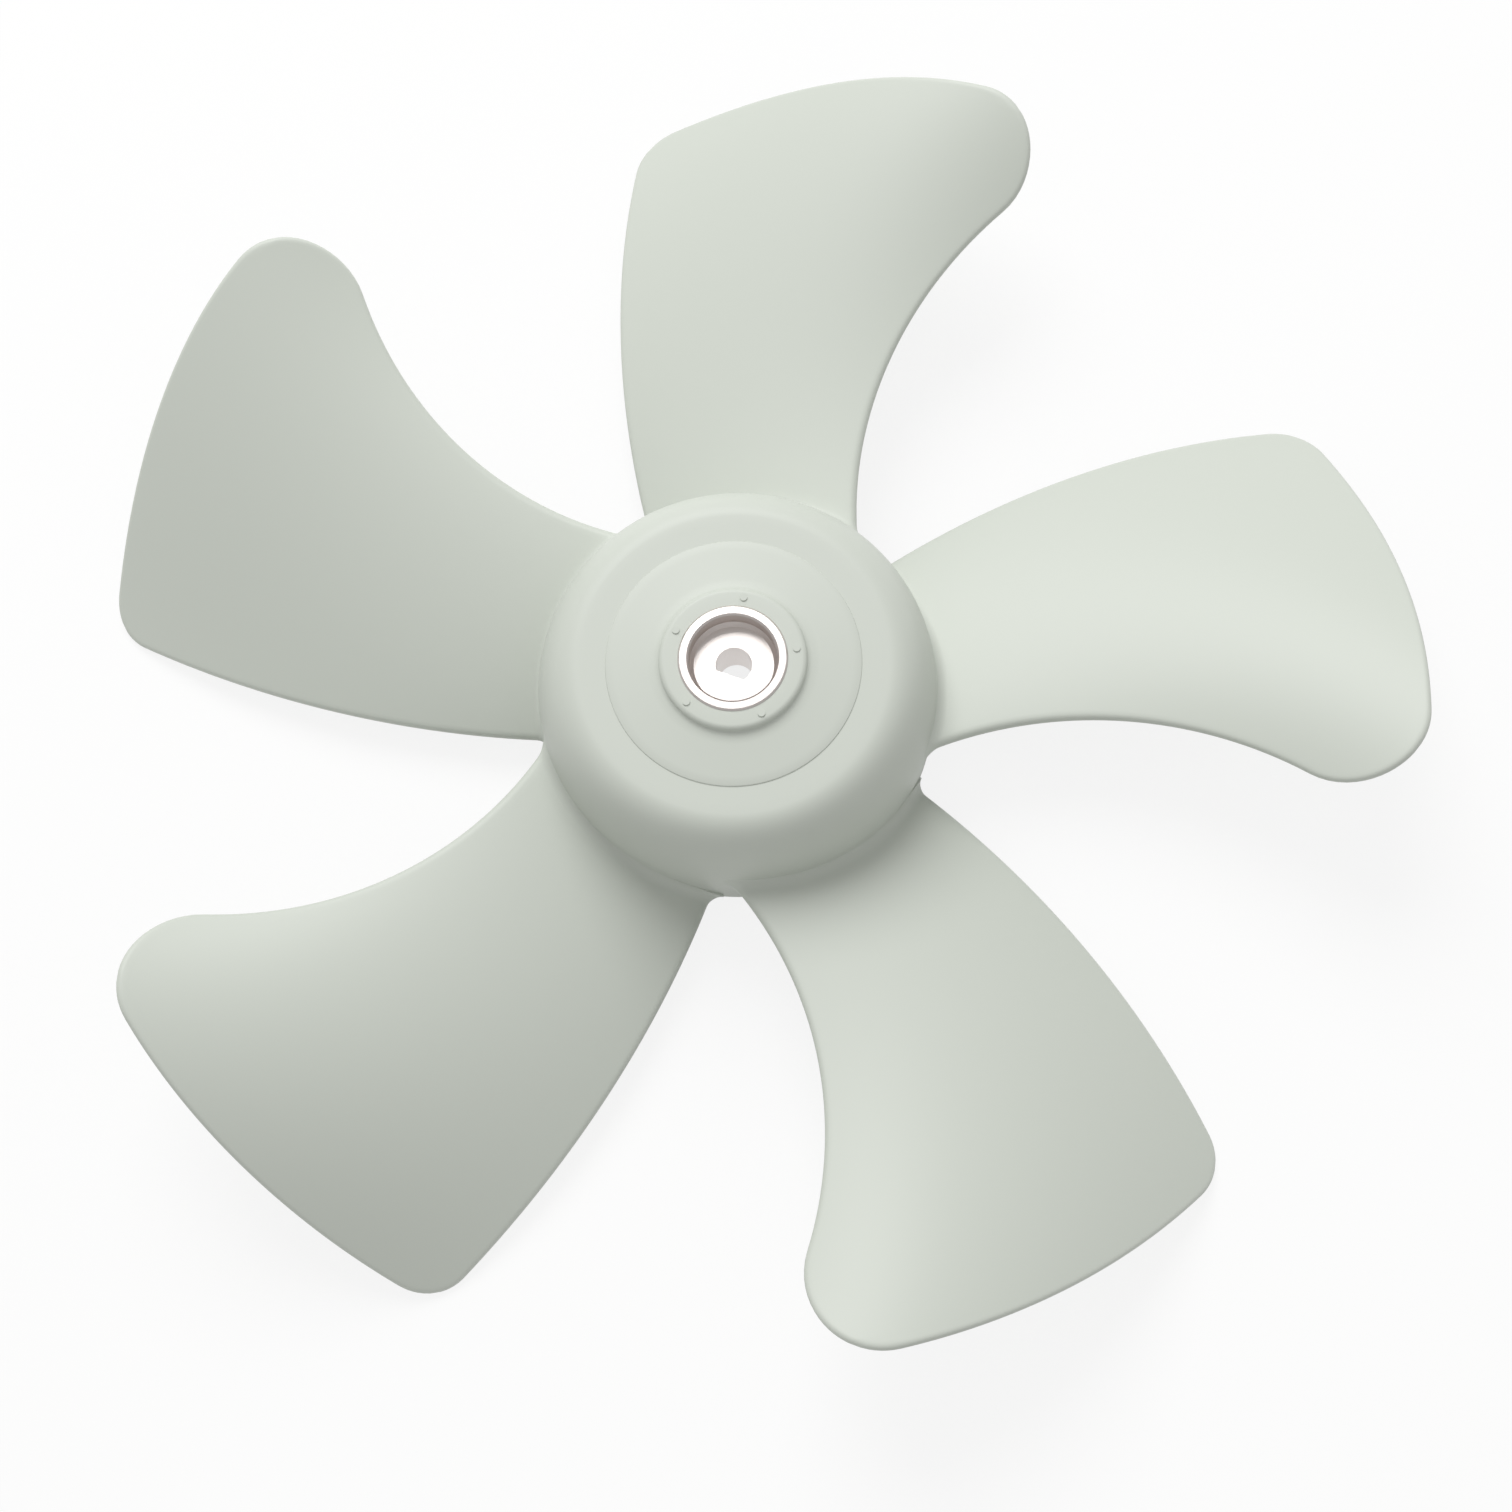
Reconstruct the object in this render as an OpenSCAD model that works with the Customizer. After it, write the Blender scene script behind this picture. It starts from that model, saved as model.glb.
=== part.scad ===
// Radiator cooling fan: a five-bladed plastic moulding with a turned metal shaft insert.
// The origin is on the shaft axis, in the insert's rear seat. +Z points to the fan's front.
// +X runs along the flat of the shaft bore, and angles are counted from +X towards +Y.

/* [Blade outline, seen from the front] */
// Number of blades
blade_count = 5; // [3:1:5]
// Diameter over the blade tips
tip_d = 300; // [280:1:330]
// Angle from +X to the first blade's leading edge, at the hub
blade_turn = 73; // [0:1:360]
// Angle that a blade takes up round the hub
root_span = 65; // [52:0.5:68]
// Angle that a blade takes up at its tip, before the corners are rounded
tip_span = 44; // [36:0.5:52]
// Angle by which the leading edge ends behind its own root
lead_sweep = 3; // [-4:0.5:8]
// Radius of the leading edge, a hollow arc
lead_arc_r = 87; // [75:1:120]
// Radius of the trailing edge, a bulging arc
trail_arc_r = 236; // [150:1:400]
// Radius of the forward lobe, where the leading edge meets the tip
lead_corner_r = 16; // [8:0.5:22]
// Radius of the corner where the trailing edge meets the tip
trail_corner_r = 11.5; // [4:0.5:18]

/* [Blade heights above the insert's seat] */
// Leading edge at the hub
lead_root_z = -5.5; // [-8:0.1:-4]
// Leading edge at the tip
lead_tip_z = 13.5; // [6:0.5:20]
// Trailing edge at the hub
trail_root_z = -19.8; // [-19.8:0.1:-15]
// Trailing edge at the tip
trail_tip_z = -28; // [-34:0.5:-22]
// How late the leading edge rises on its way out: 1 is a straight line
lead_rise = 1.85; // [1:0.05:3]
// How late the trailing edge drops on its way out: 1 is a straight line
trail_drop = 3.2; // [1:0.1:5]
// Crown pull of the blade's section at the hub
root_crown = 3.8; // [0:0.1:6]
// Crown pull at the tip, on the leading half
lead_tip_crown = 27; // [5:0.5:32]
// Crown pull at the tip, on the trailing half
trail_tip_crown = 7; // [0:0.5:12]

/* [Blade thickness] */
// Thickness at the hub
blade_root_t = 3; // [2.4:0.1:4]
// Thickness at the tip
blade_tip_t = 2; // [1.4:0.1:3]
// Radius of the fillet between a blade and the hub
root_fillet_r = 2.5; // [1:0.1:4]

/* [Hub] */
// Outer radius of the hub, where its rounded shoulder ends in the skirt
hub_r = 44.7; // [42:0.1:48]
// Outer radius of the skirt at its open rear rim
rim_r = 44.2; // [43:0.1:47]
// Height of the rear rim
rim_z = -21.5; // [-26:0.1:-21.5]
// Height at which the shoulder ends and the skirt begins
shoulder_z = -6; // [-9:0.1:-3]
// Radius at which the flat of the cap turns into the shoulder
shoulder_start_r = 34; // [31:0.1:38]
// Height of the flat of the cap
cap_z = 14.4; // [12:0.1:15.5]
// Thickness of the cap and the skirt
wall_t = 2.5; // [2:0.1:3.2]
// Radius of the raised disc in the middle of the cap
disc_r = 28; // [24:0.1:30]
// Height of the raised disc's edge
disc_step = 0.3; // [0.2:0.1:0.8]
// Rise of the raised disc from its edge to the collar's foot
disc_rise = 1; // [0.4:0.1:1.4]
// Radius of the collar round the insert
collar_r = 16.2; // [14.5:0.1:18]
// Radius of the rounded edge of the collar
collar_edge_r = 1.2; // [0.6:0.1:1.8]
// How far the collar's top lies below the insert's front
collar_drop = 0.5; // [0.2:0.1:1]
// Distance from the shaft axis to the gate marks on the collar
gate_pcd_r = 14; // [13.3:0.1:14.2]
// Diameter of a gate mark
gate_d = 1.6; // [1:0.1:2]
// Height of a gate mark
gate_h = 0.3; // [0.2:0.1:0.5]
// Angle from +X to the first gate mark
gate_turn = 29; // [0:1:360]

/* [Ribs inside the hub] */
// Number of radial ribs
rib_count = 12; // [6:1:16]
// Angle from +X to the first rib
rib_turn = 7.5; // [0:0.5:60]
// Thickness of the radial ribs and of the ring rib
rib_t = 1.6; // [1.2:0.1:2.4]
// Height of the ribs' rear edge at the boss
rib_boss_z = 4; // [2:0.1:8]
// Height of the ribs' rear edge at the skirt
rib_skirt_z = -9; // [-12:0.1:-4]
// Outer radius of the boss that grips the insert
boss_r = 17; // [15.5:0.1:19]
// How far the boss's rear end lies in front of the insert's seat
boss_gap = 1; // [0.6:0.1:2]

/* [Shaft insert] */
// Outer radius
insert_r = 12; // [11:0.1:12.6]
// Length
insert_l = 18; // [17:0.1:20]
// Radius of the nut recess
recess_r = 9.7; // [8:0.1:10.2]
// Depth of the nut recess
recess_depth = 5.5; // [4:0.1:7]
// Size of the bevel at the bottom of the nut recess
recess_bevel = 0.9; // [0.3:0.1:1.5]
// Radius of the shaft bore
shaft_r = 4; // [3:0.1:5]
// Distance from the shaft axis to the flat of the bore
shaft_flat = 2.4; // [1.8:0.1:2.8]
// Size of the bevel on the insert's outer edges
insert_bevel = 0.4; // [0.2:0.1:0.6]
// Depth of the groove that the plastic locks into
groove_depth = 1.2; // [0.6:0.1:1.6]
// Width of the groove
groove_w = 3; // [2:0.1:4]
// Height of the groove's rear side
groove_z = 8; // [7:0.1:9]
// Distance from the shaft axis to the two flats that stop the insert turning
key_flat = 10.8; // [10.4:0.1:11]
// Length of the two flats
key_l = 4; // [2:0.1:5]

/* [Hidden] */

tip_r = tip_d / 2;
overlap = 0.2;
round_fn = 96;
shoulder_steps = 12;
edge_steps = 4;

// Blade loft: where its sections lie along the span, and where its points lie in a section
sink = 1.4;
fillet_steps = 4;
mid_steps = 7;
corner_steps = 6;
chord_steps = 10;
blunt = 0.3;
slope_step = 0.5;

function blend(from, to, share) = from + (to - from) * share;
function polar(r, angle) = [r * cos(angle), r * sin(angle)];
function bearing(point) = atan2(point[1], point[0]);
function degrees_of(length, r) = length / r * 180 / PI;

// Centre of the arc of radius r from p to q that bulges anticlockwise
function arc_centre(p, q, r) =
    let (d = q - p, half = norm(d) / 2)
    (p + q) / 2 + [d[1], -d[0]] / norm(d) * sqrt(r * r - half * half);

// Angle between the bearing of a circle's centre and the point of the circle at radius r
function half_angle(r, centre, circle_r) =
    acos(min(1, (r * r + centre * centre - circle_r * circle_r) / (2 * r * norm(centre))));

// The two edges before their corners are rounded
lead_c = arc_centre(polar(hub_r, 0), polar(tip_r, lead_sweep), lead_arc_r);
trail_c = arc_centre(polar(hub_r, root_span), polar(tip_r, lead_sweep + tip_span), trail_arc_r);
function lead_arc(r) = bearing(lead_c) + half_angle(r, lead_c, lead_arc_r);
function trail_arc(r) = bearing(trail_c) + half_angle(r, trail_c, trail_arc_r);

// Corner arcs, tangent to an edge and to the tip circle
lead_in_r = tip_r - lead_corner_r;
trail_in_r = tip_r - trail_corner_r;
lead_corner_c = polar(lead_in_r,
    bearing(lead_c) + half_angle(lead_in_r, lead_c, lead_arc_r + lead_corner_r));
trail_corner_c = polar(trail_in_r,
    bearing(trail_c) + half_angle(trail_in_r, trail_c, trail_arc_r - trail_corner_r));

// Radius at which an edge runs into its corner arc
function touch_r(edge_c, edge_r, corner_c) =
    norm(edge_c + (corner_c - edge_c) / norm(corner_c - edge_c) * edge_r);
lead_touch_r = touch_r(lead_c, lead_arc_r, lead_corner_c);
trail_touch_r = touch_r(trail_c, trail_arc_r, trail_corner_c);

function lead_angle(r) = r < lead_touch_r
    ? lead_arc(r)
    : bearing(lead_corner_c) - half_angle(r, lead_corner_c, lead_corner_r);
function trail_angle(r) = r < trail_touch_r
    ? trail_arc(r)
    : bearing(trail_corner_c) + half_angle(r, trail_corner_c, trail_corner_r);

// Height of the blade's middle surface: a cubic curve from the trailing to the leading edge
function span_share(r) = max(0, (r - hub_r) / (tip_r - hub_r));
function middle_z(r, angle) =
    let (
        s = span_share(r),
        v = (trail_arc(r) - angle) / (trail_arc(r) - lead_arc(r)),
        z0 = blend(trail_root_z, trail_tip_z, pow(s, trail_drop)),
        z3 = blend(lead_root_z, lead_tip_z, pow(s, lead_rise)),
        z1 = blend(z0, z3, 1 / 3) + blend(root_crown, trail_tip_crown, s * s),
        z2 = blend(z0, z3, 2 / 3) + blend(root_crown, lead_tip_crown, s * s),
        w = 1 - v
    )
    w * w * w * z0 + 3 * w * w * v * z1 + 3 * w * v * v * z2 + v * v * v * z3;

// Extra thickness that the root fillet adds on every side at radius r
function fillet(r) =
    let (inside = min(root_fillet_r, max(0, hub_r + root_fillet_r - r)))
    root_fillet_r - sqrt(root_fillet_r * root_fillet_r - inside * inside);
function plain_half_t(r) = blend(blade_root_t, blade_tip_t, span_share(r)) / 2;
// Share of the half thickness h that is left at a distance from a rounded edge
function rounded(distance, h) =
    let (x = 1 - min(1, distance / h))
    max(blunt, sqrt(1 - x * x));

// A point of the blade's front (side 1) or rear (side -1) skin
function skin_point(r, angle, side, h) =
    let (
        rise = middle_z(r, angle + slope_step) - middle_z(r, angle - slope_step),
        slope = rise / (2 * slope_step * PI / 180 * r),
        n = sqrt(1 + slope * slope),
        turned = angle - degrees_of(side * h * slope / n, r),
        z = middle_z(r, angle) + side * h / n,
        kept = r < hub_r + root_fillet_r ? max(z, rim_z + overlap) : z
    )
    [r * cos(turned), r * sin(turned), kept];

// One closed section of the blade, on a cylinder of radius r
function section(r) =
    let (
        flare = fillet(r),
        plain = plain_half_t(r),
        h = (plain + flare) * rounded(tip_r - r, plain),
        a0 = trail_angle(r) + degrees_of(flare, r),
        a1 = lead_angle(r) - degrees_of(flare, r),
        edge = degrees_of(plain + flare, r),
        angles = concat(
            [a0, a0 - 0.3 * edge],
            [for (i = [0:chord_steps]) blend(a0 - edge, a1 + edge, i / chord_steps)],
            [a1 + 0.3 * edge, a1]
        ),
        last = len(angles) - 1
    )
    concat(
        [for (a = angles)
            skin_point(r, a, 1, h * rounded(min(a0 - a, a - a1) / edge, 1))],
        [for (i = [last:-1:0])
            let (a = angles[i])
            skin_point(r, a, -1, h * rounded(min(a0 - a, a - a1) / edge, 1))]
    );

// Radii of the sections: sunk into the skirt, up the fillet, along the blade, round the corners
corner_start_r = min(lead_touch_r, trail_touch_r);
section_radii = concat(
    [hub_r - sink],
    [for (i = [0:fillet_steps]) hub_r + root_fillet_r * (1 - cos(90 * i / fillet_steps))],
    [for (i = [1:mid_steps]) blend(hub_r + root_fillet_r, corner_start_r, i / mid_steps)],
    [for (i = [1:corner_steps - 1])
        blend(corner_start_r, tip_r - blade_tip_t / 2, sin(90 * i / corner_steps))],
    [tip_r - blade_tip_t / 2, tip_r - 0.3 * blade_tip_t / 2, tip_r]
);

// Closed solid through rings of points that all have the same even number of points
module loft(rings) {
    n = len(rings[0]);
    last = len(rings) - 1;
    sides = [for (k = [0:last - 1], i = [0:n - 1])
        let (a = k * n + i, b = k * n + (i + 1) % n)
        each [[a, b + n, b], [a, a + n, b + n]]];
    first_cap = [for (i = [0:n / 2 - 2])
        each [[i, n - 2 - i, n - 1 - i], [i, i + 1, n - 2 - i]]];
    last_cap = [for (i = [0:n / 2 - 2])
        let (a = last * n + i, b = last * n + n - 1 - i)
        each [[a, b, b - 1], [a, b - 1, a + 1]]];
    polyhedron(points = [for (ring = rings) each ring], faces = concat(sides, first_cap, last_cap));
}

module blade() {
    loft([for (r = section_radii) section(r)]);
}

// Quarter of an ellipse from the cap's flat down to the skirt, inset by a wall thickness
function shoulder(inset) = [for (i = [0:shoulder_steps])
    let (a = 90 * i / shoulder_steps)
    [shoulder_start_r + (hub_r - shoulder_start_r - inset) * sin(a),
     shoulder_z + (cap_z - shoulder_z - inset) * cos(a)]];

// Quarter round that ends a flat at height z, at radius r
function rounded_edge(r, z, edge_r) = [for (i = [0:edge_steps])
    let (a = 90 * i / edge_steps)
    [r - edge_r + edge_r * sin(a), z - edge_r + edge_r * cos(a)]];

collar_z = insert_l - collar_drop;
boss_z = boss_gap;
cap_back_z = cap_z - wall_t;
disc_z = cap_z + disc_step;
core_r = insert_r - groove_depth - overlap;

module hub_shell() {
    front = concat(
        [[core_r, collar_z]],
        rounded_edge(collar_r, collar_z, collar_edge_r),
        [[collar_r + 1, disc_z + disc_rise], [disc_r - disc_step, disc_z], [disc_r, cap_z]],
        shoulder(0),
        [[rim_r, rim_z]]
    );
    inside = shoulder(wall_t);
    back = concat(
        [[rim_r - wall_t, rim_z]],
        [for (i = [shoulder_steps:-1:0]) inside[i]],
        [[boss_r, cap_back_z], [boss_r, boss_z], [core_r, boss_z]]
    );
    rotate_extrude($fn = round_fn) polygon(concat(front, back));
}

// One radial rib, from inside the boss to inside the skirt
module radial_rib() {
    inside = shoulder(wall_t - overlap);
    rotate([90, 0, 0])
        linear_extrude(rib_t, center = true)
            polygon(concat(
                [[boss_r - overlap, rib_boss_z], [boss_r - overlap, cap_back_z + overlap]],
                inside,
                [[hub_r - wall_t + overlap, rib_skirt_z]]
            ));
}

// Ring rib under the edge of the raised disc
module ring_rib() {
    rib_out_r = disc_r + rib_t;
    rib_back_z = blend(rib_boss_z, rib_skirt_z, (rib_out_r - boss_r) / (hub_r - wall_t - boss_r));
    translate([0, 0, rib_back_z]) difference() {
        cylinder(h = cap_back_z + overlap - rib_back_z, r = rib_out_r, $fn = round_fn);
        translate([0, 0, -1])
            cylinder(h = cap_back_z + overlap - rib_back_z + 2, r = disc_r, $fn = round_fn);
    }
}

// Outside of the insert, which is also the space that it fills in the moulding
module insert_blank() {
    difference() {
        rotate_extrude($fn = round_fn)
            polygon([
                [0, 0],
                [insert_r - insert_bevel, 0],
                [insert_r, insert_bevel],
                [insert_r, groove_z],
                [insert_r - groove_depth, groove_z],
                [insert_r - groove_depth, groove_z + groove_w],
                [insert_r, groove_z + groove_w],
                [insert_r, insert_l - insert_bevel],
                [insert_r - insert_bevel, insert_l],
                [0, insert_l]
            ]);
        for (side = [-1, 1])
            translate([-insert_r, side > 0 ? key_flat : -key_flat - insert_r, boss_gap + 1])
                cube([2 * insert_r, insert_r, key_l]);
    }
}

module fan_moulding() {
    color("#cfd6cd") difference() {
        union() {
            hub_shell();
            ring_rib();
            for (i = [0:rib_count - 1])
                rotate(rib_turn + i * 360 / rib_count) radial_rib();
            for (i = [0:blade_count - 1])
                rotate(blade_turn + i * 360 / blade_count) blade();
            for (i = [0:blade_count - 1])
                rotate(gate_turn + i * 360 / blade_count)
                    translate([gate_pcd_r, 0, collar_z - overlap])
                        cylinder(h = gate_h + overlap, d = gate_d, $fn = 24);
        }
        insert_blank();
    }
}

module shaft_insert() {
    floor_z = insert_l - recess_depth;
    color("#d8d2cc") difference() {
        insert_blank();
        rotate_extrude($fn = round_fn)
            polygon([
                [0, floor_z],
                [recess_r - recess_bevel, floor_z],
                [recess_r, floor_z + recess_bevel],
                [recess_r, insert_l - insert_bevel],
                [recess_r + insert_bevel, insert_l],
                [recess_r + insert_bevel, insert_l + 1],
                [0, insert_l + 1]
            ]);
        intersection() {
            translate([0, 0, -1]) cylinder(h = insert_l, r = shaft_r, $fn = 64);
            translate([-shaft_r, -shaft_flat, -1]) cube([2 * shaft_r, 2 * shaft_r, insert_l]);
        }
    }
}

fan_moulding();
shaft_insert();
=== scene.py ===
import math

import bpy
from mathutils import Matrix, Vector


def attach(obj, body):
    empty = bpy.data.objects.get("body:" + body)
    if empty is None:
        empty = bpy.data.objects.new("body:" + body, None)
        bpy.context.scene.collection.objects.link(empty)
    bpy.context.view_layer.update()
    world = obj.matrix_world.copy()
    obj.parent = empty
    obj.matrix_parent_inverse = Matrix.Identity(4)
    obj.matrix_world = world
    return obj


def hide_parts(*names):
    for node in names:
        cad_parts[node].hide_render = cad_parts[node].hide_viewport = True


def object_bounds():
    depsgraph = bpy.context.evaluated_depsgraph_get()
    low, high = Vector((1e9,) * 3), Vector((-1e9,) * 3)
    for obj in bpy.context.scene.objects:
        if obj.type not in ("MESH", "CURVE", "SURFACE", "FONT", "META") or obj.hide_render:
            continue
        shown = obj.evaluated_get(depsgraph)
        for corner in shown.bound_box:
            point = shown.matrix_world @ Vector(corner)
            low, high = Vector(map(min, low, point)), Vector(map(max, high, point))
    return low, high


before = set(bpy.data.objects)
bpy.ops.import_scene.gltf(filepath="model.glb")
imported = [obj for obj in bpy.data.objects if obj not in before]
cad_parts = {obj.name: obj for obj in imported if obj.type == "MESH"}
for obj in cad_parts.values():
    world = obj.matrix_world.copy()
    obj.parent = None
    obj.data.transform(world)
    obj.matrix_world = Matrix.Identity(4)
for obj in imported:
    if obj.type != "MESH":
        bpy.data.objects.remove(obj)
solid_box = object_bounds()

# The view: the fan lies on its blade tips and is looked at from above, from a little below its
# middle in the picture. Lengths are in millimetres unless a name or comment says otherwise.
MM = 0.001
CAMERA_AT = Vector((88.3, -157.9, 570.51))
CAMERA_LOOKS = Vector((-0.13179, 0.24164, -0.96137))
CAMERA_UP = Vector((-0.32854, 0.90437, 0.27235))
CAMERA_LENS = 64.0
CAMERA_SENSOR = 36.0
NEAR_M = 0.01
FAR_M = 50.0

camera = bpy.data.objects.new("camera", bpy.data.cameras.new("camera"))
bpy.context.scene.collection.objects.link(camera)
back = -CAMERA_LOOKS.normalized()
right = CAMERA_UP.cross(back).normalized()
up = back.cross(right)
camera_turn = Matrix((right, up, back)).transposed().to_4x4()
camera.matrix_world = Matrix.Translation(CAMERA_AT * MM) @ camera_turn
camera.data.lens = CAMERA_LENS
camera.data.sensor_width = CAMERA_SENSOR
camera.data.clip_start = NEAR_M
camera.data.clip_end = FAR_M
bpy.context.scene.camera = camera

# Fan wheel: one shot of natural, unpainted polypropylene with glass fibre, moulded in a two-part
# tool. It has a domed cap with a skirt, ribs and a boss behind it, and five swept blades.
TIP_R = 150.0
BLADE_COUNT = 5
BLADE_TURN = 73.0
ROOT_SPAN = 65.0
TIP_SPAN = 44.0
LEAD_SWEEP = 3.0
LEAD_ARC_R = 87.0
TRAIL_ARC_R = 236.0
LEAD_CORNER_R = 16.0
TRAIL_CORNER_R = 11.5
LEAD_ROOT_Z = -5.5
LEAD_TIP_Z = 13.5
TRAIL_ROOT_Z = -19.8
TRAIL_TIP_Z = -28.0
LEAD_RISE = 1.85
TRAIL_DROP = 3.2
ROOT_CROWN = 3.8
LEAD_TIP_CROWN = 27.0
TRAIL_TIP_CROWN = 7.0
BLADE_ROOT_T = 3.0
BLADE_TIP_T = 2.0
ROOT_FILLET_R = 2.5

HUB_R = 44.7
RIM_R = 44.2
RIM_Z = -21.5
SHOULDER_Z = -6.0
SHOULDER_START_R = 34.0
CAP_Z = 14.4
WALL_T = 2.5
DISC_R = 28.0
DISC_STEP = 0.3
DISC_RISE = 1.0
DISC_EDGE_IN = 0.1
DISC_EDGE_DROP = 0.08
COLLAR_R = 16.2
COLLAR_EDGE_R = 1.2
COLLAR_Z = 17.5
COLLAR_FOOT = 1.0
GATE_R = 14.0
GATE_D = 1.6
GATE_H = 0.3
GATE_TURN = 29.0
GATE_COUNT = 5
RIB_COUNT = 12
RIB_TURN = 7.5
RIB_T = 1.6
RIB_BOSS_Z = 4.0
RIB_SKIRT_Z = -9.0
BOSS_R = 17.0
BOSS_Z = 1.0
INSERT_R = 12.0
INSERT_GAP = 0.02
OVERLAP = 0.2
TURN_STEPS = 240
CURVE_STEPS = 20
SHOULDER_STEPS = 26
COLLAR_STEPS = 8
FLAT_STEPS = 6
RIM_BREAK = 0.5
EDGE_BREAK = 0.4


def blend(start, end, share):
    return start + (end - start) * share


def polar(r, angle):
    return Vector((r * math.cos(math.radians(angle)), r * math.sin(math.radians(angle))))


def bearing(point):
    return math.degrees(math.atan2(point[1], point[0]))


def arc_centre(p, q, r):
    d = q - p
    half = d.length / 2
    return (p + q) / 2 + Vector((d[1], -d[0])).normalized() * math.sqrt(r * r - half * half)


def half_angle(r, centre, circle_r):
    share = (r * r + centre.length_squared - circle_r * circle_r) / (2 * r * centre.length)
    return math.degrees(math.acos(max(-1.0, min(1.0, share))))


lead_c = arc_centre(polar(HUB_R, 0), polar(TIP_R, LEAD_SWEEP), LEAD_ARC_R)
trail_c = arc_centre(polar(HUB_R, ROOT_SPAN), polar(TIP_R, LEAD_SWEEP + TIP_SPAN), TRAIL_ARC_R)


def lead_arc(r):
    return bearing(lead_c) + half_angle(r, lead_c, LEAD_ARC_R)


def trail_arc(r):
    return bearing(trail_c) + half_angle(r, trail_c, TRAIL_ARC_R)


lead_in_r = TIP_R - LEAD_CORNER_R
trail_in_r = TIP_R - TRAIL_CORNER_R
lead_corner_turn = bearing(lead_c) + half_angle(lead_in_r, lead_c, LEAD_ARC_R + LEAD_CORNER_R)
trail_corner_turn = bearing(trail_c) + half_angle(trail_in_r, trail_c, TRAIL_ARC_R - TRAIL_CORNER_R)
lead_corner_c = polar(lead_in_r, lead_corner_turn)
trail_corner_c = polar(trail_in_r, trail_corner_turn)
lead_touch = lead_c + (lead_corner_c - lead_c).normalized() * LEAD_ARC_R
trail_touch = trail_c + (trail_corner_c - trail_c).normalized() * TRAIL_ARC_R


def lead_angle(r):
    if r < lead_touch.length:
        return lead_arc(r)
    return bearing(lead_corner_c) - half_angle(r, lead_corner_c, LEAD_CORNER_R)


def trail_angle(r):
    if r < trail_touch.length:
        return trail_arc(r)
    return bearing(trail_corner_c) + half_angle(r, trail_corner_c, TRAIL_CORNER_R)


def span_share(r):
    return max(0.0, (r - HUB_R) / (TIP_R - HUB_R))


def chord_share(r, angle):
    return (trail_arc(r) - angle) / (trail_arc(r) - lead_arc(r))


def middle_z(r, angle):
    s = span_share(r)
    v = chord_share(r, angle)
    w = 1 - v
    z0 = blend(TRAIL_ROOT_Z, TRAIL_TIP_Z, s ** TRAIL_DROP)
    z3 = blend(LEAD_ROOT_Z, LEAD_TIP_Z, s ** LEAD_RISE)
    z1 = blend(z0, z3, 1 / 3) + blend(ROOT_CROWN, TRAIL_TIP_CROWN, s * s)
    z2 = blend(z0, z3, 2 / 3) + blend(ROOT_CROWN, LEAD_TIP_CROWN, s * s)
    return w * w * w * z0 + 3 * w * w * v * z1 + 3 * w * v * v * z2 + v * v * v * z3


def fillet(r):
    inside = min(ROOT_FILLET_R, max(0.0, HUB_R + ROOT_FILLET_R - r))
    return ROOT_FILLET_R - math.sqrt(ROOT_FILLET_R ** 2 - inside ** 2)


def edge_distance(point):
    """Distance in plan from a point of the blade to its outline; a corner counts by its own arc."""
    from_lead = (point - lead_c).length - LEAD_ARC_R
    from_trail = TRAIL_ARC_R - (point - trail_c).length
    nearest = min(from_lead, from_trail, TIP_R - point.length)
    corners = ((lead_corner_c, lead_touch, LEAD_CORNER_R),
               (trail_corner_c, trail_touch, TRAIL_CORNER_R))
    for centre, touch, corner_r in corners:
        to_edge = touch - centre
        to_tip = centre.normalized()
        out = point - centre
        turn = to_edge.cross(to_tip)
        if out.cross(to_tip) / turn > 0 and to_edge.cross(out) / turn > 0:
            nearest = min(nearest, corner_r - out.length)
    return nearest


def wall_r(z):
    """Radius of the hub's outside at height z."""
    if z < SHOULDER_Z:
        return blend(HUB_R, RIM_R, (SHOULDER_Z - z) / (SHOULDER_Z - RIM_Z))
    rise = min(1.0, (z - SHOULDER_Z) / (CAP_Z - SHOULDER_Z))
    return SHOULDER_START_R + (HUB_R - SHOULDER_START_R) * math.sqrt(1 - rise * rise)


# Distances from the blade's rim at which its grid lines lie close together, to round the rim off
RIM_LINES = (0.0, 0.06, 0.2, 0.45, 0.8, 1.2, 1.9, 3.2)
CHORD_STEPS = 34
SPAN_STEPS = 34
CORNER_STEPS = 16
FILLET_STEPS = 7
SINK = 1.4
BLUNT = 0.2

span_lines = [HUB_R - SINK]
span_lines += [HUB_R + ROOT_FILLET_R * (1 - math.cos(math.radians(90 * i / FILLET_STEPS)))
               for i in range(FILLET_STEPS + 1)]
corner_start_r = min(lead_touch.length, trail_touch.length)
span_lines += [blend(span_lines[-1], corner_start_r, i / SPAN_STEPS)
               for i in range(1, SPAN_STEPS + 1)]
corner_end_r = TIP_R - RIM_LINES[-1]
span_lines += [blend(corner_start_r, corner_end_r, math.sin(math.radians(90 * i / CORNER_STEPS)))
               for i in range(1, CORNER_STEPS)]
span_lines += [TIP_R - distance for distance in reversed(RIM_LINES)]


def leave_edit():
    if bpy.context.object and bpy.context.object.mode == "EDIT":
        bpy.ops.object.mode_set(mode="OBJECT")
    bpy.ops.object.select_all(action="DESELECT")


def named(name):
    piece = bpy.context.object
    piece.name = name
    piece.data.name = name
    return piece


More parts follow.
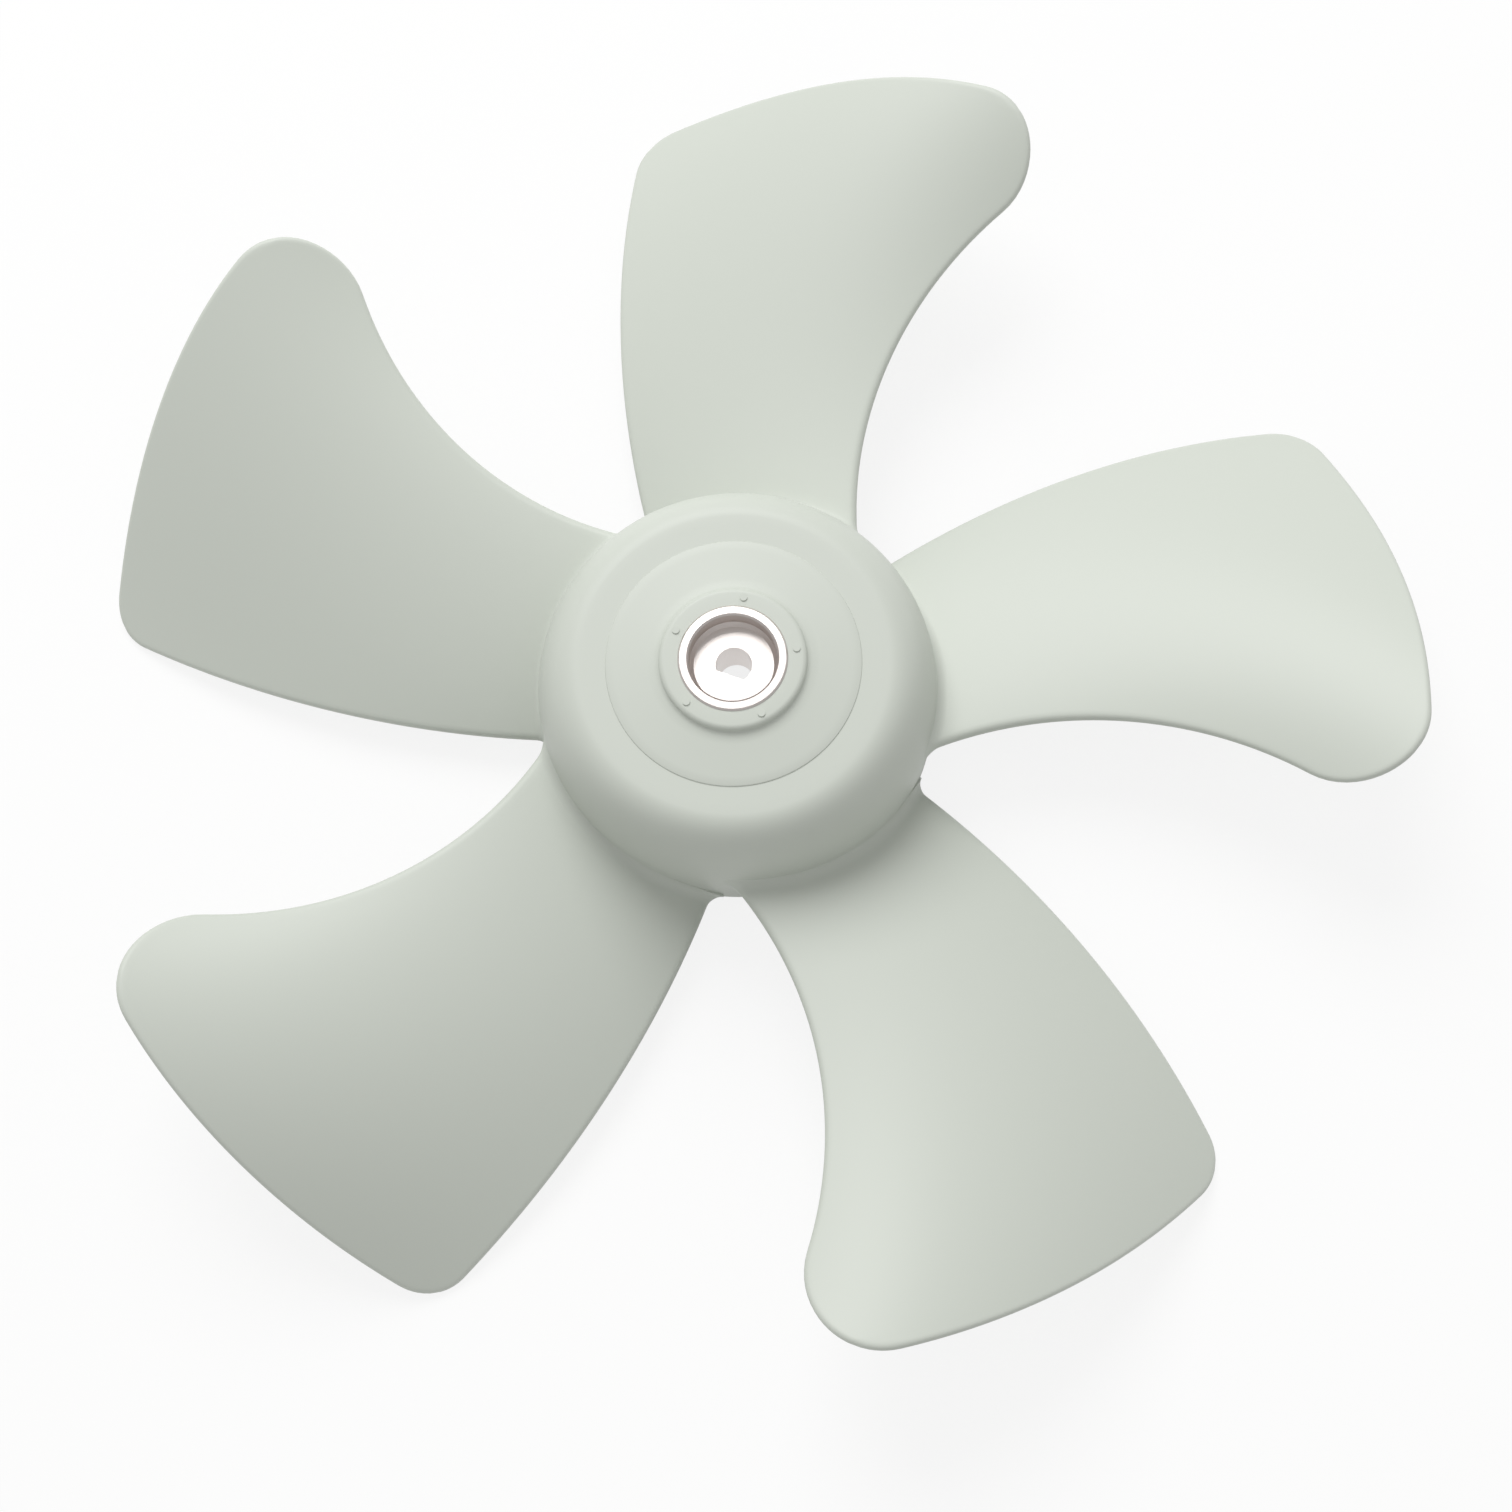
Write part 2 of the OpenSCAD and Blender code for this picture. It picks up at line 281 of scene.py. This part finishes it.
leave_edit()
chord_lines = 2 * len(RIM_LINES) + CHORD_STEPS - 1
bpy.ops.mesh.primitive_grid_add(x_subdivisions=chord_lines - 1,
                                y_subdivisions=len(span_lines) - 1, size=1)
blade = named("blade")
half_t = {}
for vertex in blade.data.vertices:
    i = round((vertex.co.x + 0.5) * (chord_lines - 1))
    r = span_lines[round((vertex.co.y + 0.5) * (len(span_lines) - 1))]
    flare = fillet(r)
    plain = blend(BLADE_ROOT_T, BLADE_TIP_T, span_share(r)) / 2
    trail = trail_angle(r) + math.degrees(flare / r)
    lead = lead_angle(r) - math.degrees(flare / r)
    if i < len(RIM_LINES):
        angle = trail - math.degrees(RIM_LINES[i] * (1 + flare) / r)
    elif i >= chord_lines - len(RIM_LINES):
        angle = lead + math.degrees(RIM_LINES[chord_lines - 1 - i] * (1 + flare) / r)
    else:
        rim = math.degrees(RIM_LINES[-1] * (1 + flare) / r)
        angle = blend(trail - rim, lead + rim, (i - len(RIM_LINES) + 1) / CHORD_STEPS)
    spot = polar(r, angle)
    inward = min(1.0, max(0.0, edge_distance(spot) + flare) / (plain + flare))
    half_t[vertex.index] = (plain + flare) * max(BLUNT, math.sqrt(1 - (1 - inward) ** 2))
    vertex.co = (spot.x, spot.y, middle_z(r, angle))
thick_max = max(half_t.values())
group = blade.vertex_groups.new(name="thickness")
for index, h in half_t.items():
    group.add([index], h / thick_max, "REPLACE")
wall = blade.modifiers.new("wall", "SOLIDIFY")
wall.thickness = 2 * thick_max
wall.offset = 0
wall.vertex_group = "thickness"
wall.use_even_offset = False
bpy.ops.object.modifier_apply(modifier="wall")
for vertex in blade.data.vertices:
    r = math.hypot(vertex.co.x, vertex.co.y)
    if r < HUB_R + ROOT_FILLET_R:
        vertex.co.z = max(vertex.co.z, RIM_Z + OVERLAP)
        taper = (HUB_R - wall_r(vertex.co.z)) * fillet(r) / ROOT_FILLET_R
        vertex.co.x *= (r - taper) / r
        vertex.co.y *= (r - taper) / r
bpy.ops.object.mode_set(mode="EDIT")
bpy.ops.mesh.select_all(action="SELECT")
bpy.ops.mesh.normals_make_consistent(inside=False)
leave_edit()

# The two UV maps hold a place along the blade and a distance from its rim. The even plastic
# here doesn't read them.
BLADE_MAP_STEP = 3
RIM_MAP_SCALE = 0.01
blades = [blade]
for i in range(1, BLADE_COUNT):
    copy = blade.copy()
    copy.data = blade.data.copy()
    copy.name = f"blade_{i}"
    bpy.context.scene.collection.objects.link(copy)
    blades.append(copy)
for i, copy in enumerate(blades):
    place = copy.data.uv_layers.new(name="along")
    rim = copy.data.uv_layers.new(name="rim")
    for loop in copy.data.loops:
        spot = copy.data.vertices[loop.vertex_index].co
        r = max(HUB_R, spot.xy.length)
        place.data[loop.index].uv = (chord_share(r, bearing(spot)) + BLADE_MAP_STEP * i, span_share(r))
        rim.data[loop.index].uv = (edge_distance(spot.xy) * RIM_MAP_SCALE, 1)
    copy.data.transform(Matrix.Rotation(math.radians(BLADE_TURN + i * 360 / BLADE_COUNT), 4, "Z"))


def turned(name, outline, steps):
    """A solid of revolution: one point is drawn out along the outline, and spun about the shaft axis."""
    leave_edit()
    bpy.ops.mesh.primitive_plane_add(size=1)
    piece = named(name)
    bpy.ops.object.mode_set(mode="EDIT")
    bpy.ops.mesh.select_all(action="SELECT")
    bpy.ops.mesh.merge(type="CENTER")
    bpy.ops.mesh.select_all(action="SELECT")
    bpy.ops.transform.translate(value=(outline[0][0], 0, outline[0][1]))
    for at, spot in zip(outline, outline[1:]):
        step = (spot[0] - at[0], 0, spot[1] - at[1])
        bpy.ops.mesh.extrude_vertices_move(TRANSFORM_OT_translate={"value": step})
    bpy.ops.mesh.select_all(action="SELECT")
    bpy.ops.mesh.spin(steps=steps, angle=math.tau, center=(0, 0, 0), axis=(0, 0, 1))
    bpy.ops.mesh.select_all(action="SELECT")
    bpy.ops.mesh.remove_doubles(threshold=0.0005)
    bpy.ops.mesh.normals_make_consistent(inside=False)
    leave_edit()
    return piece


def quarter(r, z, edge_r, steps):
    """A quarter round that ends a flat of height z at radius r."""
    return [(r - edge_r + edge_r * math.sin(math.radians(90 * i / steps)),
             z - edge_r + edge_r * math.cos(math.radians(90 * i / steps)))
            for i in range(steps + 1)]


def shoulder(inset, steps):
    """The cap's turn into the skirt, a quarter of an ellipse, inset by a wall thickness."""
    return [(SHOULDER_START_R + (HUB_R - SHOULDER_START_R - inset) * math.sin(math.radians(90 * i / steps)),
             SHOULDER_Z + (CAP_Z - SHOULDER_Z - inset) * math.cos(math.radians(90 * i / steps)))
            for i in range(steps + 1)]


disc_z = CAP_Z + DISC_STEP
cap_back_z = CAP_Z - WALL_T
foot_z = disc_z + DISC_RISE
front = [(INSERT_R - INSERT_GAP, COLLAR_Z)]
front += quarter(COLLAR_R, COLLAR_Z, COLLAR_EDGE_R, COLLAR_STEPS)
front += [(COLLAR_R + COLLAR_FOOT / 4, foot_z + DISC_STEP), (COLLAR_R + COLLAR_FOOT, foot_z)]
front += [(blend(COLLAR_R + COLLAR_FOOT, DISC_R - DISC_STEP, i / FLAT_STEPS),
           foot_z - DISC_RISE * i / FLAT_STEPS) for i in range(1, FLAT_STEPS)]
front += [(DISC_R - DISC_STEP, disc_z), (DISC_R - DISC_EDGE_IN, disc_z - DISC_EDGE_DROP), (DISC_R, CAP_Z)]
front += [(blend(DISC_R, SHOULDER_START_R, i / 3), CAP_Z) for i in range(1, 3)]
front += shoulder(0, SHOULDER_STEPS)
front += [(blend(HUB_R, RIM_R, i / FLAT_STEPS), blend(SHOULDER_Z, RIM_Z, i / FLAT_STEPS))
          for i in range(1, FLAT_STEPS)]
front += [(RIM_R, RIM_Z + RIM_BREAK), (RIM_R - RIM_BREAK * 0.3, RIM_Z + RIM_BREAK * 0.3),
          (RIM_R - RIM_BREAK, RIM_Z)]
rear = [(RIM_R - WALL_T + EDGE_BREAK, RIM_Z), (RIM_R - WALL_T, RIM_Z + EDGE_BREAK)]
rear += list(reversed(shoulder(WALL_T, CURVE_STEPS)))
rear += [(BOSS_R, cap_back_z), (BOSS_R, BOSS_Z + EDGE_BREAK), (BOSS_R - EDGE_BREAK, BOSS_Z),
         (INSERT_R - INSERT_GAP, BOSS_Z)]
moulding = turned("moulding", front + rear + [front[0]], TURN_STEPS)


def plate(name, outline, thickness):
    """A flat plate in the XZ plane, half its thickness to each side: an outline is filled and extruded."""
    leave_edit()
    bpy.ops.mesh.primitive_circle_add(vertices=len(outline), radius=1, fill_type="NGON")
    piece = named(name)
    for vertex, spot in zip(piece.data.vertices, outline):
        vertex.co = (spot[0], -thickness / 2, spot[1])
    bpy.ops.object.mode_set(mode="EDIT")
    bpy.ops.mesh.select_all(action="SELECT")
    bpy.ops.mesh.extrude_region_move(TRANSFORM_OT_translate={"value": (0, thickness, 0)})
    bpy.ops.mesh.select_all(action="SELECT")
    bpy.ops.mesh.normals_make_consistent(inside=False)
    leave_edit()
    return piece


rib_outline = [(BOSS_R - OVERLAP, RIB_BOSS_Z), (BOSS_R - OVERLAP, cap_back_z + OVERLAP)]
rib_outline += shoulder(WALL_T - OVERLAP, CURVE_STEPS)
rib_outline += [(HUB_R - WALL_T + OVERLAP, RIB_SKIRT_Z)]
rib = plate("rib", rib_outline, RIB_T)
ribs = [rib]
for i in range(1, RIB_COUNT):
    copy = rib.copy()
    copy.data = rib.data.copy()
    bpy.context.scene.collection.objects.link(copy)
    ribs.append(copy)
for i, copy in enumerate(ribs):
    copy.data.transform(Matrix.Rotation(math.radians(RIB_TURN + i * 360 / RIB_COUNT), 4, "Z"))

ring_out_r = DISC_R + RIB_T
ring_back_z = blend(RIB_BOSS_Z, RIB_SKIRT_Z, (ring_out_r - BOSS_R) / (HUB_R - WALL_T - BOSS_R))
ring_top = cap_back_z + OVERLAP
ring = turned("ring", [(DISC_R, ring_top), (ring_out_r, ring_top), (ring_out_r, ring_back_z),
                       (DISC_R, ring_back_z), (DISC_R, ring_top)], TURN_STEPS)

gates = []
for i in range(GATE_COUNT):
    leave_edit()
    spot = polar(GATE_R, GATE_TURN + i * 360 / GATE_COUNT)
    bpy.ops.mesh.primitive_cylinder_add(vertices=24, radius=GATE_D / 2, depth=2 * GATE_H,
                                        location=(spot.x, spot.y, COLLAR_Z))
    pip = named(f"gate_{i}")
    pip.data.transform(pip.matrix_world)
    pip.matrix_world = Matrix()
    gates.append(pip)


def unite(base, others):
    """Fuses the other solids into the base, one cut after another."""
    for other in others:
        leave_edit()
        bpy.context.view_layer.objects.active = base
        fuse = base.modifiers.new("fuse", "BOOLEAN")
        fuse.operation = "UNION"
        fuse.solver = "EXACT"
        fuse.object = other
        bpy.ops.object.modifier_apply(modifier="fuse")
        bpy.data.objects.remove(other, do_unlink=True)


unite(moulding, ribs + [ring] + gates + blades)
moulding.data.transform(Matrix.Scale(MM, 4))
leave_edit()
moulding.select_set(True)
bpy.context.view_layer.objects.active = moulding
bpy.ops.object.shade_smooth_by_angle(angle=math.radians(32))


def linear(colour):
    """An sRGB hex colour as the linear values that a shader takes."""
    parts = [int(colour[i:i + 2], 16) / 255 for i in (1, 3, 5)]
    return tuple(c / 12.92 if c <= 0.04045 else ((c + 0.055) / 1.055) ** 2.4 for c in parts) + (1.0,)


def add(tree, kind, inputs=None, out=0, **settings):
    """Adds a node with its settings, sets or links its inputs, and gives one of its outputs."""
    made = tree.nodes.new(kind)
    for key, value in settings.items():
        setattr(made, key, value)
    for key, value in (inputs or {}).items():
        if isinstance(value, bpy.types.NodeSocket):
            tree.links.new(value, made.inputs[key])
        else:
            made.inputs[key].default_value = value
    return made.outputs[out]


# Natural polypropylene with glass fibre, moulded: a milky, faintly green-grey plastic with a
# satin skin. It is one even colour here, without the real one's flow marks and chalky edges.
plastic = bpy.data.materials.new("moulded_polypropylene")
plastic.use_nodes = True
tree = plastic.node_tree
tree.nodes.clear()
out = tree.nodes.new("ShaderNodeOutputMaterial")
shader = tree.nodes.new("ShaderNodeBsdfPrincipled")
tree.links.new(shader.outputs[0], out.inputs[0])
shader.inputs["Base Color"].default_value = linear("#ccd1c8")
shader.inputs["Roughness"].default_value = 0.48
shader.inputs["IOR"].default_value = 1.49
moulding.data.materials.clear()
moulding.data.materials.append(plastic)
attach(moulding, "root")
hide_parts("fan_moulding")

# Shaft insert: turned from aluminium bar and moulded into the hub. It has a nut recess in front
# and a bore with one flat for the motor's shaft.
metal = bpy.data.materials.new("turned_aluminium")
metal.use_nodes = True
shader = metal.node_tree.nodes["Principled BSDF"]
shader.inputs["Base Color"].default_value = linear("#e3dcd8")
shader.inputs["Metallic"].default_value = 1.0
shader.inputs["Roughness"].default_value = 0.3
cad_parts["shaft_insert"].data.materials.clear()
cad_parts["shaft_insert"].data.materials.append(metal)

# Bench and light: a pale, plain surface under the blade tips, a wide soft lamp high on the
# picture's upper side, and even light from all round.
FLOOR_M = 12
WHITE_SHARE = 0.85
ROOM_LIGHT = 0.5
LAMP_M = 1.2
LAMP_WATTS = 22.0
leave_edit()
bpy.ops.mesh.primitive_plane_add(size=FLOOR_M, location=(0, 0, solid_box[0][2]))
floor = named("floor")
pale = bpy.data.materials.new("pale_bench")
pale.use_nodes = True
tree = pale.node_tree
tree.nodes.clear()
out = tree.nodes.new("ShaderNodeOutputMaterial")
path = add(tree, "ShaderNodeLightPath").node
seen = add(tree, "ShaderNodeMath",
           {0: path.outputs["Is Camera Ray"], 1: path.outputs["Is Glossy Ray"]}, operation="MAXIMUM")
seen = add(tree, "ShaderNodeMath",
           {0: seen, 1: path.outputs["Is Transmission Ray"]}, operation="MAXIMUM")
share = add(tree, "ShaderNodeMath", {0: seen, 1: WHITE_SHARE}, operation="MULTIPLY")
matt = add(tree, "ShaderNodeBsdfDiffuse", {"Color": linear("#f4f4f3")})
white = add(tree, "ShaderNodeEmission", {"Color": (1, 1, 1, 1), "Strength": 1.0})
mixed = add(tree, "ShaderNodeMixShader", {0: share, 1: matt, 2: white})
tree.links.new(mixed, out.inputs[0])
floor.data.materials.append(pale)

world = bpy.data.worlds.new("soft_room")
bpy.context.scene.world = world
world.use_nodes = True
tree = world.node_tree
tree.nodes.clear()
out = tree.nodes.new("ShaderNodeOutputWorld")
path = add(tree, "ShaderNodeLightPath").node
seen = add(tree, "ShaderNodeMath",
           {0: path.outputs["Is Camera Ray"], 1: path.outputs["Is Transmission Ray"]}, operation="MAXIMUM")
strength = add(tree, "ShaderNodeMapRange", {0: seen, 3: ROOM_LIGHT, 4: 1.0})
sky = add(tree, "ShaderNodeBackground", {"Color": (1, 1, 1, 1), "Strength": strength})
tree.links.new(sky, out.inputs[0])

lamp = bpy.data.objects.new("lamp", bpy.data.lights.new("lamp", "AREA"))
bpy.context.scene.collection.objects.link(lamp)
lamp.data.shape = "DISK"
lamp.data.size = LAMP_M
lamp.data.energy = LAMP_WATTS
lamp_at = Vector((-0.65, 0.95, 1.3))
lamp_turn = lamp_at.to_track_quat("Z", "Y").to_matrix().to_4x4()
lamp.matrix_world = Matrix.Translation(lamp_at) @ lamp_turn

bpy.context.scene.view_settings.view_transform = "Standard"
